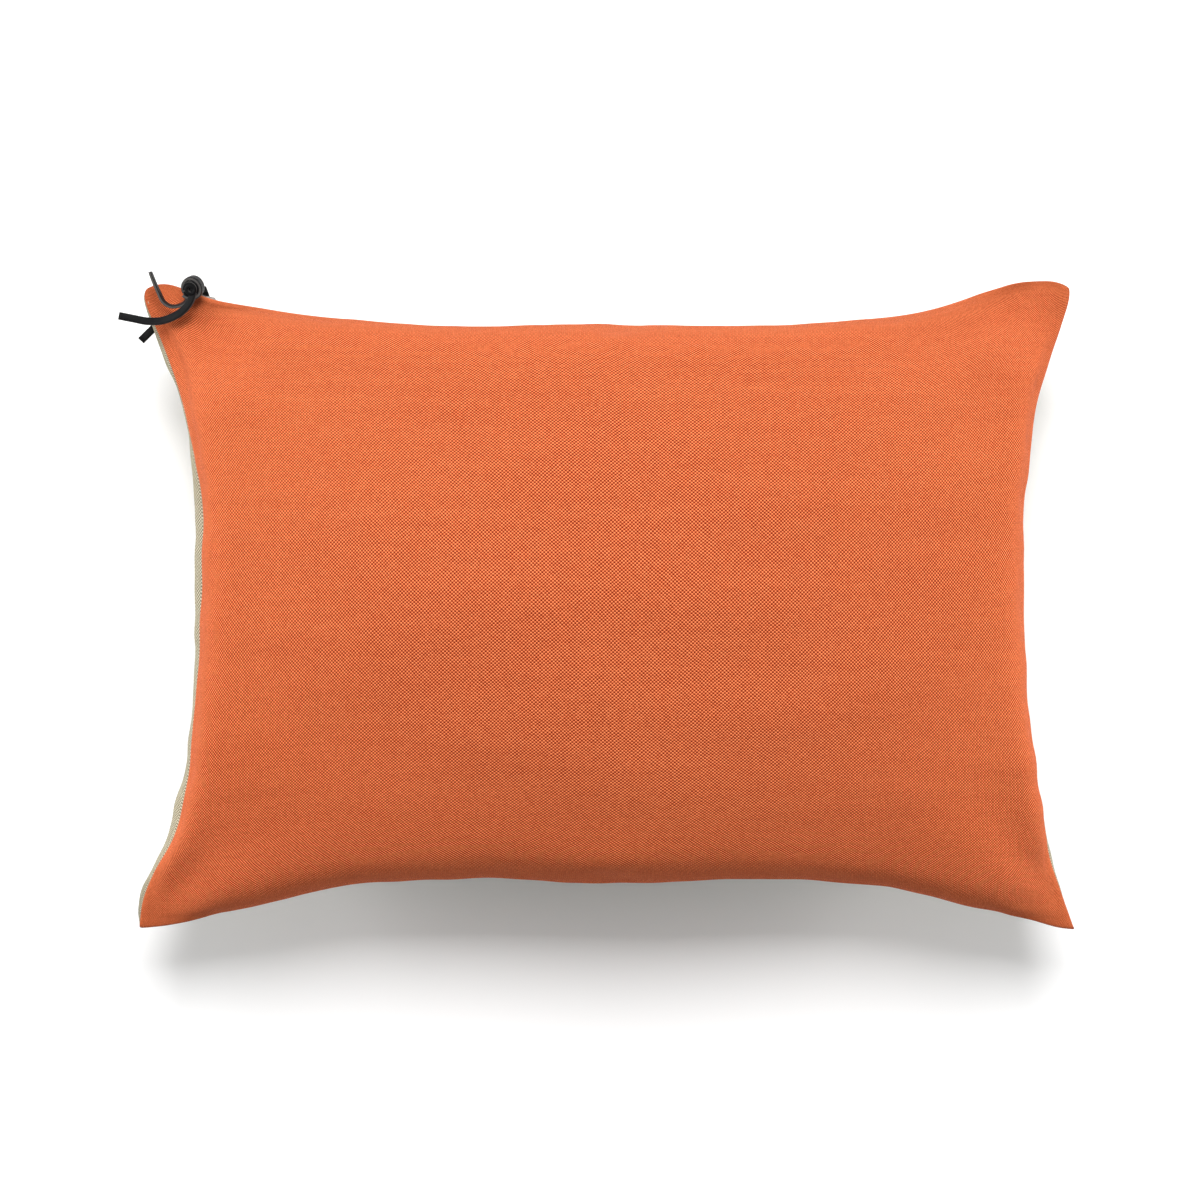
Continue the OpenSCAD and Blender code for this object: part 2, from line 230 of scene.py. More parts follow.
def make_knot():
    """Two laces wound round themselves: an outer coil that shows as a drum, a spiral on top and a core."""
    parts = []
    line, normals = [], []
    for i in range(COIL_STEPS):
        t = i / (COIL_STEPS - 1)
        ang = 2 * pi * COIL_TURNS * t + 0.6
        rad = (5.15 - 0.55 * t + 0.12 * sin(3 * ang)) * MM
        along = (2.1 - 5.6 * t) * MM
        line.append(knot_point(ang, rad, along))
        normals.append(line[-1] - knot_point(ang, 0, along))
    parts.append(band("coil", line, normals, 3.5 * MM, 1.7 * MM))
    line, normals = [], []
    for i in range(SPIRAL_STEPS):
        t = i / (SPIRAL_STEPS - 1)
        ang = 2 * pi * SPIRAL_TURNS * t + 2.0
        rad = (0.9 + 3.1 * t ** 0.8) * MM
        along = (3.1 + 0.5 * sin(pi * t) - 0.9 * t) * MM
        line.append(knot_point(ang, rad, along))
        normals.append(KNOT_AXIS)
    parts.append(band("spiral", line, normals, 1.9 * MM, 1.5 * MM))
    line, normals = [], []
    for i in range(CORE_STEPS):
        t = i / (CORE_STEPS - 1)
        ang = 2 * pi * CORE_TURNS * t
        rad = (3.4 - 1.2 * t) * MM
        along = (1.6 - 5.5 * t) * MM
        line.append(knot_point(ang, rad, along))
        normals.append(line[-1] - knot_point(ang, 0, along))
    parts.append(band("core", line, normals, 4.4 * MM, 1.8 * MM))
    # The strands that run down from the knot, through the pull's eye and round the end of its frame.
    eye = SLIDER_AT + Vector((-7.4, 7.4, 0)) * MM
    out = Vector((1.5, 2.1, 0)).normalized()
    for k in (-1, 1):
        top = [KNOT_AT + KNOT_X * 1.6 * MM * k - KNOT_AXIS * 3 * MM,
               SLIDER_AT + Vector((-6.1 + 1.0 * k, 8.6, 8.5)) * MM,
               eye + out * 2.5 * MM + Vector((0.9 * k, -0.5 * k, 4.5)) * MM]
        loop = [eye + (out * cos(a) + Vector((-0.81, 0.59, 0)) * sin(a) * k) * 2.6 * MM
                + Vector((0, 0, 1.3 * k * cos(a / 2))) * MM for a in (0.2, 1.1, 2.0, 2.9)]
        line = catmull(top + loop, 8)
        normals = [Vector((q.x - eye.x, q.y - eye.y, 0.0)) + Vector((1e-5, 0, 0)) for q in line]
        parts.append(band("strand", line, normals, 2.4 * MM, 1.2 * MM))
    return join(parts, "lace_knot_leather")


def join(parts, name):
    bpy.ops.object.select_all(action="DESELECT")
    for p in parts:
        p.select_set(True)
    bpy.context.view_layer.objects.active = parts[0]
    bpy.ops.object.join()
    parts[0].name = name
    parts[0].data.name = name
    return parts[0]


knot = make_knot()
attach(knot, "pull")
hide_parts("lace_knot")


# ---------- Materials ----------

class Graph:
    """Builds a material's nodes. Each call returns an output socket, and takes numbers or sockets."""

    def __init__(self, name):
        self.mat = bpy.data.materials.new(name)
        self.mat.use_nodes = True
        self.nodes, self.links = self.mat.node_tree.nodes, self.mat.node_tree.links
        self.bsdf = self.nodes["Principled BSDF"]

    def put(self, socket, value):
        if isinstance(value, bpy.types.NodeSocket):
            self.links.new(value, socket)
        else:
            socket.default_value = value

    def node(self, kind, inputs=(), out=0, **settings):
        n = self.nodes.new("ShaderNode" + kind)
        for key, value in settings.items():
            setattr(n, key, value)
        for key, value in dict(inputs).items():
            self.put(n.inputs[key], value)
        return n.outputs[out]

    def math(self, op, a, b=0.0, c=0.0, clamp=False):
        return self.node("Math", {0: a, 1: b, 2: c}, operation=op, use_clamp=clamp)

    def mix(self, fac, a, b):
        return self.node("Mix", {"Factor": fac, "A": a, "B": b}, data_type="FLOAT")

    def mix_color(self, fac, a, b):
        return self.node("Mix", {0: fac, 6: a, 7: b}, 2, data_type="RGBA")

    def noise(self, vector, scale, detail=2.0, rough=0.5):
        ins = {"Vector": vector, "Scale": scale, "Detail": detail, "Roughness": rough}
        return self.node("TexNoise", ins)

    def off_middle(self, value, gain):
        """How far a tone is from its middle, times gain."""
        return self.math("MULTIPLY", self.math("SUBTRACT", value, 0.5), gain)

    def scaled(self, x, y, z=0.0):
        return self.node("CombineXYZ", {0: x, 1: y, 2: z})

    def spread(self, value, low, high):
        return self.node("MapRange", {"Value": value, "From Min": low, "From Max": high}, clamp=True)

    def bump(self, height, distance, strength=1.0, normal=None):
        ins = {"Height": height, "Distance": distance, "Strength": strength}
        if normal is not None:
            ins["Normal"] = normal
        return self.node("Bump", ins)


def rgb(r, g, b):
    return (r, g, b, 1.0)


WARP, WEFT = 0.87 * MM, 0.74 * MM   # spacing of the threads that run up and across the panels
# How much each thing changes the linen's colour; the weave's checker is painted light and shade.
THREAD_TONE, STREAK, CELL, CLOUD, WEAVE_LIGHT_AND_SHADE = 0.42, 0.36, 0.5, 0.34, 1.9


def linen(name, pale, base, deep, slub=1.0):
    """Plain-weave linen: threads that cross over and under, each with its own tone, and painted light and
    shade on the crossings.
    """
    g = Graph(name)
    uv = g.node("UVMap", uv_map="cloth")
    xyz = g.node("SeparateXYZ", {0: uv}).node
    x, y = xyz.outputs[0], xyz.outputs[1]
    wob = g.noise(uv, 60.0, 2.0, 0.6)
    wob2 = g.noise(g.node("VectorMath", {0: uv, 1: (3.1, 1.7, 0.0)}, operation="ADD"), 60.0, 2.0, 0.6)
    u = g.math("ADD", g.math("DIVIDE", x, WARP), g.off_middle(wob, 1.6))
    v = g.math("ADD", g.math("DIVIDE", y, WEFT), g.off_middle(wob2, 1.8))
    cu = g.math("COSINE", g.math("MULTIPLY", u, pi))
    cv = g.math("COSINE", g.math("MULTIPLY", v, pi))
    au, av = g.math("ABSOLUTE", cu), g.math("ABSOLUTE", cv)
    check = g.math("MULTIPLY", cu, cv)
    over = g.spread(check, -0.12, 0.12)
    weft_id, warp_id = g.math("ROUND", v), g.math("ROUND", u)
    # Every crossing has its own tone, and each thread's drifts along it.
    cell = g.node("TexWhiteNoise", {"Vector": g.scaled(warp_id, weft_id)}, noise_dimensions="2D")
    weft_at = g.scaled(g.math("MULTIPLY", x, 60.0), g.math("MULTIPLY", weft_id, 7.31))
    warp_at = g.scaled(g.math("MULTIPLY", warp_id, 5.77), g.math("MULTIPLY", y, 60.0), 4.0)
    weft_tone, warp_tone = g.noise(weft_at, 1.0, 2.0, 0.6), g.noise(warp_at, 1.0, 2.0, 0.6)
    warp_h = g.math("MULTIPLY", g.math("POWER", au, 0.8), g.math("MULTIPLY_ADD", av, 0.55, 0.45))
    weft_h = g.math("MULTIPLY", g.math("POWER", av, 0.8), g.math("MULTIPLY_ADD", au, 0.55, 0.45))
    height = g.mix(over, weft_h, warp_h)
    tone = g.mix(over, weft_tone, warp_tone)
    streak_at = g.scaled(g.math("MULTIPLY", x, 9.0), g.math("MULTIPLY", y, 170.0), 1.0)
    streak = g.noise(streak_at, 1.0, 2.0, 0.6)
    cloud = g.noise(uv, 7.0, 3.0, 0.5)
    shade = g.math("ADD", g.off_middle(tone, THREAD_TONE), g.off_middle(streak, STREAK * slub))
    shade = g.math("ADD", shade, g.off_middle(cell, CELL))
    shade = g.math("ADD", shade, g.off_middle(cloud, CLOUD))
    # Painted light and shade: crossings with the warp on top are painted lighter, and those with the weft on
    # top darker. Together with the threads' own tone, this drives the deep and pale ends below.
    shade = g.math("ADD", shade, g.math("MULTIPLY", check, WEAVE_LIGHT_AND_SHADE))
    dark = g.mix_color(g.spread(shade, -1.0, 0.1), rgb(*deep), rgb(*base))
    colour = g.mix_color(g.spread(shade, 0.1, 1.1), dark, rgb(*pale))
    g.put(g.bsdf.inputs["Base Color"], colour)
    fuzz = g.noise(g.node("NewGeometry"), 2600.0, 1.0, 0.7)
    g.put(g.bsdf.inputs["Roughness"], g.math("MULTIPLY_ADD", fuzz, 0.1, 0.82))
    thick = g.math("MULTIPLY", height, g.math("MULTIPLY_ADD", tone, 0.7, 0.65))
    g.put(g.bsdf.inputs["Normal"], g.bump(thick, 0.00025, 1.0))
    g.bsdf.inputs["Specular IOR Level"].default_value = 0.06
    g.bsdf.inputs["Sheen Weight"].default_value = 0.12
    g.bsdf.inputs["Sheen Roughness"].default_value = 0.45
    g.bsdf.inputs["Sheen Tint"].default_value = rgb(*pale)
    return g.mat


def leather(name):
    g = Graph(name)
    uv = g.node("TexCoord", out=3)
    grain = g.node("TexVoronoi", {"Vector": uv, "Scale": 2600.0}, feature="DISTANCE_TO_EDGE")
    broad = g.noise(uv, 420.0, 3.0, 0.6)
    edge = g.node("Attribute", out=2, attribute_name="edge")
    patchy = g.math("MULTIPLY_ADD", broad, 0.8, 0.5)
    # The cut edges are painted lighter: partly the leather's own paler cut edge, partly painted sheen.
    edge_tone_and_sheen = g.math("MULTIPLY", g.spread(edge, 0.35, 1.0), patchy, clamp=True)
    face = g.mix_color(broad, rgb(0.0018, 0.0018, 0.0021), rgb(0.0052, 0.0052, 0.006))
    g.put(g.bsdf.inputs["Base Color"], g.mix_color(edge_tone_and_sheen, face, rgb(0.085, 0.080, 0.076)))
    rough = g.math("MULTIPLY_ADD", broad, 0.25, 0.34)
    g.put(g.bsdf.inputs["Roughness"], g.math("MULTIPLY_ADD", edge_tone_and_sheen, 0.3, rough))
    g.put(g.bsdf.inputs["Normal"], g.bump(g.spread(grain, 0.0, 0.25), 0.00006, 0.5,
                                          g.bump(broad, 0.00025, 0.5)))
    g.bsdf.inputs["Specular IOR Level"].default_value = 0.11
    return g.mat


def metal(name, bright, dark, rough=0.32):
    g = Graph(name)
    at = g.node("TexCoord", out=3)
    worn = g.noise(at, 900.0, 4.0, 0.65)
    fine = g.noise(at, 5200.0, 2.0, 0.6)
    g.put(g.bsdf.inputs["Base Color"], g.mix_color(g.spread(worn, 0.35, 0.68), rgb(*dark), rgb(*bright)))
    bare = g.math("SUBTRACT", 1.0, worn)
    g.put(g.bsdf.inputs["Roughness"], g.math("MULTIPLY_ADD", bare, 0.28, rough - 0.08))
    g.put(g.bsdf.inputs["Normal"], g.bump(fine, 0.00003, 0.5))
    g.bsdf.inputs["Metallic"].default_value = 1.0
    return g.mat


def tape_cloth(name, base, deep):
    """Woven zip tape: fine twill ribs along it, with painted shade between them."""
    g = Graph(name)
    at = g.node("TexCoord", out=3)
    xyz = g.node("SeparateXYZ", {0: at}).node
    x, z = xyz.outputs[0], xyz.outputs[2]
    ribs = g.math("ABSOLUTE", g.math("SINE", g.math("MULTIPLY", g.math("ADD", x, z), pi / (0.7 * MM))))
    picks = g.math("ABSOLUTE", g.math("SINE", g.math("MULTIPLY", z, pi / (0.55 * MM))))
    height = g.math("MULTIPLY", ribs, g.math("MULTIPLY_ADD", picks, 0.6, 0.4))
    grain = g.noise(at, 1500.0, 2.0, 0.6)
    # Painted shade: the colour darkens in the valleys between the ribs, on top of the yarn's own grain.
    shade = g.math("MULTIPLY_ADD", grain, 0.5, g.math("MULTIPLY", height, 0.5))
    g.put(g.bsdf.inputs["Base Color"], g.mix_color(shade, rgb(*deep), rgb(*base)))
    g.put(g.bsdf.inputs["Normal"], g.bump(height, 0.0002, 0.8))
    g.put(g.bsdf.inputs["Roughness"], g.math("MULTIPLY_ADD", grain, 0.1, 0.8))
    return g.mat


def yarn(name, base, deep):
    g = Graph(name)
    at = g.node("TexCoord", out=3)
    grain = g.noise(at, 3800.0, 2.0, 0.6)
    g.put(g.bsdf.inputs["Base Color"], g.mix_color(g.spread(grain, 0.3, 0.7), rgb(*deep), rgb(*base)))
    g.put(g.bsdf.inputs["Roughness"], g.math("MULTIPLY_ADD", grain, 0.15, 0.72))
    g.put(g.bsdf.inputs["Normal"], g.bump(grain, 0.00008, 0.7))
    g.bsdf.inputs["Sheen Weight"].default_value = 0.2
    return g.mat


TERRACOTTA = linen("terracotta_linen", (0.95, 0.277, 0.106), (0.60, 0.105, 0.033), (0.20, 0.0195, 0.006))
BEIGE = linen("beige_linen", (0.60, 0.55, 0.42), (0.35, 0.315, 0.22), (0.15, 0.13, 0.08))
COTTON = linen("pad_cotton", (0.95, 0.93, 0.89), (0.83, 0.81, 0.75), (0.55, 0.53, 0.48), 0.5)
LEATHER = leather("black_leather")
NICKEL = metal("antique_nickel", (0.50, 0.48, 0.45), (0.14, 0.13, 0.12))
TAPE = tape_cloth("zip_tape_weave", (0.50, 0.43, 0.29), (0.26, 0.21, 0.13))
THREAD = yarn("sewing_thread", (0.62, 0.54, 0.38), (0.34, 0.28, 0.18))
FIBRE = yarn("fibre_filling", (0.92, 0.91, 0.88), (0.70, 0.69, 0.66))


def dress(ob, *mats):
    ob.data.materials.clear()
    for mat in mats:
        ob.data.materials.append(mat)
    return ob


for tail in tails + [knot]:
    dress(tail, LEATHER)

# At the far end of the zip the cushion is thick beside the slider, and pushes the laces out past its seam.
# LACE_REST lists these distances, but only its names are used below: each tail gets its own mesh and is not
# moved.
LACE_REST = {"lace_tail_long": 9, "lace_tail_curled": 12, "lace_tail_under": 9, "lace_tail_behind": 10}
for tail, node in zip(tails, LACE_REST):
    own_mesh(tail)


# ---------- Cushion ----------

FLAT_W, FLAT_H = 500 * MM, 350 * MM   # each panel of the cover, cut and sewn
NU, NV = 84, 60                       # cells of a panel

START_TIP = (246, 171)       # half distances between the tips of the cover before it is filled, in mm
START_PINCH = (16, 14)       # how far its short and long sides are drawn in, in mm
START_RISE = 64              # height of each panel's dome, in mm
FILL_FRAMES, PRESSURE = 15, 2.5   # length and force of the simulated filling


def loose_cover():
    """The two panels sewn together at their edge and loosely rounded out, and each point's index."""
    index, verts, faces = {}, [], []
    radius = START_TIP[0] ** 2 / (2 * START_PINCH[1]) + START_PINCH[1] / 2

    def add(i, j, side):
        rim = i in (0, NU) or j in (0, NV)
        key = (i, j, 0 if rim else side)
        if key not in index:
            u = sin((2 * i / NU - 1) * 0.31 * pi) / sin(0.31 * pi)
            v = sin((2 * j / NV - 1) * 0.40 * pi) / sin(0.40 * pi)
            x = u * (START_TIP[0] - START_PINCH[0] * (1 - abs(v) ** 2.5))
            rise = radius - sqrt(radius * radius - min(x * x, START_TIP[0] ** 2))
            y = v * (START_TIP[1] - START_PINCH[1] + rise)
            z = 0 if rim else side * START_RISE * sqrt((1 - u * u) * (1 - v * v))
            index[key] = len(verts)
            verts.append((x * MM, y * MM, z * MM))
        return index[key]

    for side in (1, -1):
        for j in range(NV):
            for i in range(NU):
                quad = [add(i, j, side), add(i + 1, j, side), add(i + 1, j + 1, side), add(i, j + 1, side)]
                faces.append(quad if side > 0 else quad[::-1])
    mesh = bpy.data.meshes.new("loose_cover")
    mesh.from_pydata(verts, [], faces)
    return link(mesh, "loose_cover"), index


def inflate(ob):
    """Fills the sewn panels by pressure, as cloth, and returns where their points come to rest."""
    cloth = ob.modifiers.new("Cloth", "CLOTH")
    s = cloth.settings
    s.quality, s.mass = 6, 0.3
    s.tension_stiffness, s.compression_stiffness, s.shear_stiffness, s.bending_stiffness = 40, 25, 15, 8
    s.use_pressure, s.uniform_pressure_force = True, PRESSURE
    s.effector_weights.gravity = 0
    cloth.collision_settings.use_collision = False
    last = FILL_FRAMES
    cloth.point_cache.frame_start, cloth.point_cache.frame_end = 1, last
    for frame_no in range(1, last + 1):
        scene.frame_set(frame_no)
    held = ob.evaluated_get(bpy.context.evaluated_depsgraph_get())
    mesh = held.to_mesh()
    co = np.zeros(len(mesh.vertices) * 3)
    mesh.vertices.foreach_get("co", co)
    held.to_mesh_clear()
    scene.frame_set(1)
    return co.reshape(-1, 3)


def grid_of(co, index, side):
    grid = np.zeros((NV + 1, NU + 1, 3))
    for (i, j, s), k in index.items():
        if s in (0, side):
            grid[j, i] = co[k]
    return grid


# Outline of the sewn cover seen from above, in millimetres: how far each edge lies from the middle.
# Each list runs from one corner to the other, against the distance along that edge.
LEFT_EDGE = [(-167.5, 244.5), (-152, 242), (-140, 237.5), (-131, 233), (-124, 227.5), (-112, 222.5),
             (-98, 220), (-77, 216.5), (-50, 214), (-20, 211.7), (0, 210.3), (25, 209.6), (45, 209.4),
             (58, 211.2), (72, 213.9), (85, 217), (99, 220), (112, 223.3), (126, 228), (140, 233.2),
             (153, 239.6), (160, 242.2), (165.8, 241)]
RIGHT_EDGE = [(-168, 244), (-150, 236.5), (-131, 230.2), (-118, 228), (-98, 225), (-77, 221.8),
              (-57, 218.7), (-30, 217.2), (0, 215.8), (35, 215.6), (58, 217), (78, 219.2), (92, 221.2),
              (112, 225.8), (126, 230), (140, 234.8), (153, 239), (160, 241.2), (166.5, 241)]
BOTTOM_EDGE = [(-244, 168.5), (-228, 167), (-214, 163.5), (-197, 158), (-176, 153), (-155, 147.8),
               (-134, 144.2), (-100, 142.2), (-60, 141.2), (-10, 144.5), (25, 143.6), (70, 141),
               (110, 143), (150, 145.8), (178, 152), (200, 157), (221, 163.2), (231, 168), (244, 169.5)]
# How far the lower panel rolls out past the seam on each side, against Y.
LEFT_STRIP = [(-128, 0.5), (-112, 2.6), (-104, 3.2), (-92, 1.4), (-58, 1.2), (-20, 2.2), (5, 3.6),
              (30, 5.2), (55, 5.2), (68, 4), (80, 2.2), (92, 0.6)]
RIGHT_STRIP = [(-60, 0.4), (40, 0.8), (65, 1.3), (85, 1.8), (99, 2.2), (108, 0.6)]
# How far the upper panel's edge stands outside the zip's arc.
TOP_EDGE = [(-240.5, 2.9), (-238.5, 5.2), (-234, 7.6), (-229, 8.4), (-222, 6.6), (-208, 2.4), (-197, 1.8),
            (-176, 0.9), (-160, 0), (-75, 0), (-50, 1.2), (-8, 4), (12, 3.2), (52, 1.6), (75, 0.2), (150, 0),
            (165, 0.8), (184, 4.6), (198, 8.4), (207, 9.6), (216, 10.3), (228, 9.3), (235, 8.6), (239, 5.6),
            (241, 3.5)]
SEAM_GAIN = 1.3   # what softening the outline takes off each short side


def spaced_points(pairs, s):
    return np.interp(s, [p[0] for p in pairs], [p[1] for p in pairs])


def softened(values, passes):
    values = np.array(values, float)
    for _ in range(passes):
        values[1:-1] = 0.25 * values[:-2] + 0.5 * values[1:-1] + 0.25 * values[2:]
    return values


def seam_target(side, along):
    """Where a seam's points go, from their places along it (from -1 to 1)."""
    edge = {"left": LEFT_EDGE, "right": RIGHT_EDGE, "bottom": BOTTOM_EDGE, "top": TOP_EDGE}[side]
    run = edge[0][0] + (edge[-1][0] - edge[0][0]) * (along + 1) / 2
    out = spaced_points(edge, run)
    wave = np.array([noise.noise((0.075 * a, 0.4 * len(side), 2.6)) for a in run]) * (1 - along ** 8)
    if side in ("left", "right"):
        out = out + SEAM_GAIN * (1 - along ** 6) + 1.1 * wave
        return np.stack([-out if side == "left" else out, run], -1) * MM
    if side == "bottom":
        return np.stack([run, -out - 0.8 * wave], -1) * MM
    return np.stack([run, (SIDE_Y + arc_rise(run * MM)) / MM + out], -1) * MM


def warp_outline(front, back):
    """Moves both panels so that their shared seam follows the outline. Sewn sides keep their ripples."""
    rim = {"left": front[:, 0], "right": front[:, -1], "bottom": front[0], "top": front[-1]}
    move = {}
    for side, pts in rim.items():
        run = np.concatenate([[0], np.cumsum(np.linalg.norm(np.diff(pts[:, :2], axis=0), axis=1))])
        along = 2 * run / run[-1] - 1
        target = seam_target(side, along)
        target = np.stack([softened(target[:, k], 3) for k in (0, 1)], -1)
        base = np.stack([softened(pts[:, k], 40) for k in (0, 1)], -1)
        flat = softened(pts[:, 2], 60)
        zipped = side == "top"
        delta = np.zeros((len(pts), 3))
        delta[:, :2] = target - (pts[:, :2] if zipped else base)
        delta[:, 2] = -pts[:, 2] if zipped else -flat
        move[side] = delta
    # Both sides agree at each corner.
    for a, ia, b, ib in (("left", 0, "bottom", 0), ("left", -1, "top", 0),
                         ("right", 0, "bottom", -1), ("right", -1, "top", -1)):
        mean = (move[a][ia] + move[b][ib]) / 2
        n = 10
        for side, i in ((a, ia), (b, ib)):
            off = mean - move[side][i]
            for k in range(n):
                at = k if i == 0 else -1 - k
                move[side][at] = move[side][at] + off * (1 - k / n) ** 2
    u = np.linspace(0, 1, NU + 1)[None, :, None]
    v = np.linspace(0, 1, NV + 1)[:, None, None]
    left, right = move["left"][:, None], move["right"][:, None]
    low, high = move["bottom"][None], move["top"][None]
    blend = ((1 - u) * left + u * right + (1 - v) * low + v * high
             - (1 - u) * (1 - v) * move["bottom"][0] - u * (1 - v) * move["bottom"][-1]
             - (1 - u) * v * move["top"][0] - u * v * move["top"][-1])
    return front + blend, back + blend


def step(x, low, high):
    t = np.clip((x - low) / (high - low), 0, 1)
    return t * t * (3 - 2 * t)


# The tips of the cover, and how far round each one it lies flat.
EARS = ((-241, 167, 66), (241, 168, 50), (-244, -168, 46), (244, -168, 44))


def corner_share(panel):
    """How much of its height each point keeps: the corners lie flat like ears, past a soft fold."""
    share = np.ones(panel.shape[:2])
    for x, y, reach in EARS:
        away = np.hypot(panel[..., 0] / MM - x, panel[..., 1] / MM - y)
        share *= 0.32 + 0.68 * step(away, 0.35 * reach, 1.25 * reach)
    return share


REST = 0.5   # share of the underside's depth at which it starts to press flat
ROLL_LEFT = 4.5   # how much further than LEFT_STRIP the lower panel rolls out


def settle(front, back):
    """Sets the crown's height, presses the underside flat on the table and rolls its sides out."""
    up, down = CROWN - SEAM_Z, SEAM_Z
    front[..., 2] *= up / front[..., 2].max()
    deep = -back[..., 2] * (down * 1.25 / -back[..., 2].min())
    start = REST * down
    over = np.maximum(deep - start, 0)
    room = down - start
    pressed = np.where(deep > start, start + room * np.tanh(over / room), deep)
    pressed *= down / pressed.max()
    back[..., 2] = -pressed
    # The back panel rolls past the seam on the left, and a little on the right.
    depth = pressed / MM
    y = back[..., 1] / MM
    x = back[..., 0]
    band_left = (spaced_points(LEFT_STRIP, y) + ROLL_LEFT) * (x < 0)
    band_right = spaced_points(RIGHT_STRIP, y) * (x > 0)
    roll = (step(depth, 0, 9) * (1 - step(depth, 18, 52))) * MM
    back[..., 0] += (band_right - band_left) * roll
    for panel in (front, back):
        panel[..., 2] *= corner_share(panel)
        panel[..., 2] += SEAM_Z
    return front, back


# Heights of the creases, in millimetres.
GATHER_SIDE, GATHER_END, SLACK, FAN, RIDGE, GROOVE = 3.4, 1.5, 1.5, 6.2, 0.8, 0.7


def crease(front, back):
    """Gathers that run in from the sewn sides, folds that fan out from the tips, and the seam's ridge."""
    for panel, sign, seed in ((front, 1, 3.7), (back, -1, 9.1)):
        x, y = panel[..., 0] / MM, panel[..., 1] / MM
        fold = np.zeros_like(x)
        for j in range(NV + 1):
            for i in range(NU + 1):
                px, py = x[j, i], y[j, i]
                side = min(i, NU - i) * FLAT_W / NU / MM
                end = min(j, NV - j) * FLAT_H / NV / MM
                off_seam = 1 - exp(-min(side, end) / 6)
                gather = GATHER_SIDE * exp(-side / 30) * noise.noise((px * 0.012, py * 0.085, seed))
                gather += GATHER_END * exp(-end / 24) * noise.noise((px * 0.07, py * 0.012, seed + 5))
                slack = SLACK * noise.noise((px * 0.012, py * 0.03, seed + 9))
                slack *= 1 - exp(-min(side, end) / 25)
                fan = 0.0
                for k, (tip_x, tip_y, reach) in enumerate(EARS):
                    away = hypot(px - tip_x, py - tip_y)
                    if away < 150:
                        turn = atan2(py - tip_y, px - tip_x)
                        share = float(step(away, 8, 45) * (1 - step(away, 60, 150)))
                        at = (2.6 * cos(turn), 2.6 * sin(turn), seed + 3 * k + away * 0.006)
                        fan += FAN * share * noise.noise(at)
                fold[j, i] = (gather + fan) * off_seam + slack
                if j < NV - 1:
                    fold[j, i] += RIDGE * exp(-((min(side, end) - 5.5) / 2.5) ** 2)
                    fold[j, i] -= GROOVE * exp(-((min(side, end) - 12) / 3.5) ** 2)
        panel += grid_normals(panel) * (sign * fold * MM)[..., None]
    return front, back


def grid_normals(grid):
    du, dv = np.gradient(grid, axis=1), np.gradient(grid, axis=0)
    n = np.cross(du, dv)
    return n / np.maximum(np.linalg.norm(n, axis=-1, keepdims=True), 1e-12)


ZIP_HALF, ZIP_TAPER, ZIP_OPEN = 217 * MM, 10 * MM, 6.6 * MM
# Height that the zip's tapes need inside the cover, against |x|, in millimetres.
TAPE_ROOM = [(0, 12.5), (100, 12), (160, 11.5), (214, 10), (227, 0)]


def part_zip(front, back):
    """Parts the two panels along the zipped edge, so that the teeth show between them."""
    for panel, sign in ((front, 1), (back, -1)):
        x = panel[..., 0]
        share = np.clip((ZIP_HALF + ZIP_TAPER - np.abs(x)) / ZIP_TAPER, 0, 1)
        share = share * share * (3 - 2 * share)
        v = np.linspace(-1, 1, NV + 1)[:, None] + 0 * x
        near = np.exp(-((1 - v) * FLAT_H / 2 / MM) / 16)
        panel[..., 2] += sign * ZIP_OPEN * share * near
        # Room for the tapes and the teeth, which lie just inside the arc.
        inside = (np.hypot(x, panel[..., 1] - ARC_Y) - ARC_R) / MM
        near_arc = step(inside, -4, 0.5) * (1 - 0.6 * step(inside, 5, 30))
        near_arc[-2] = 1
        room = spaced_points(TAPE_ROOM, np.abs(x) / MM) * near_arc * MM * (v > 0.5)
        panel[..., 2] = SEAM_Z + sign * np.maximum(sign * (panel[..., 2] - SEAM_Z), room)
        panel[-1, :, 2] = SEAM_Z + sign * ZIP_OPEN * share[-1]
    return front, back


# Where the hem meets the zip's tape: how far inside the arc, and how far off its middle.
HEM_IN, HEM_Z = 1.5 * MM, 5.0 * MM
# The two turned rows of the hem: how far in on a sewn side, and on the zip the share of the way to the
# tape and the drop.
HEM_ROWS = ((1.0, 0.3, 0.6), (2.2, 1.0, 0.0))


def zip_share(x):
    """1 along the zip, 0 at the tips, where the two panels are sewn together."""
    return float(np.clip((ZIP_HALF + ZIP_TAPER - abs(x)) / ZIP_TAPER, 0, 1))


def hem_share(x):
    """1 beside the teeth, 0 past the ends of the zip, where the hems meet."""
    return float(np.clip((ZIP_HALF + 5 * MM - abs(x)) / (6 * MM), 0, 1))


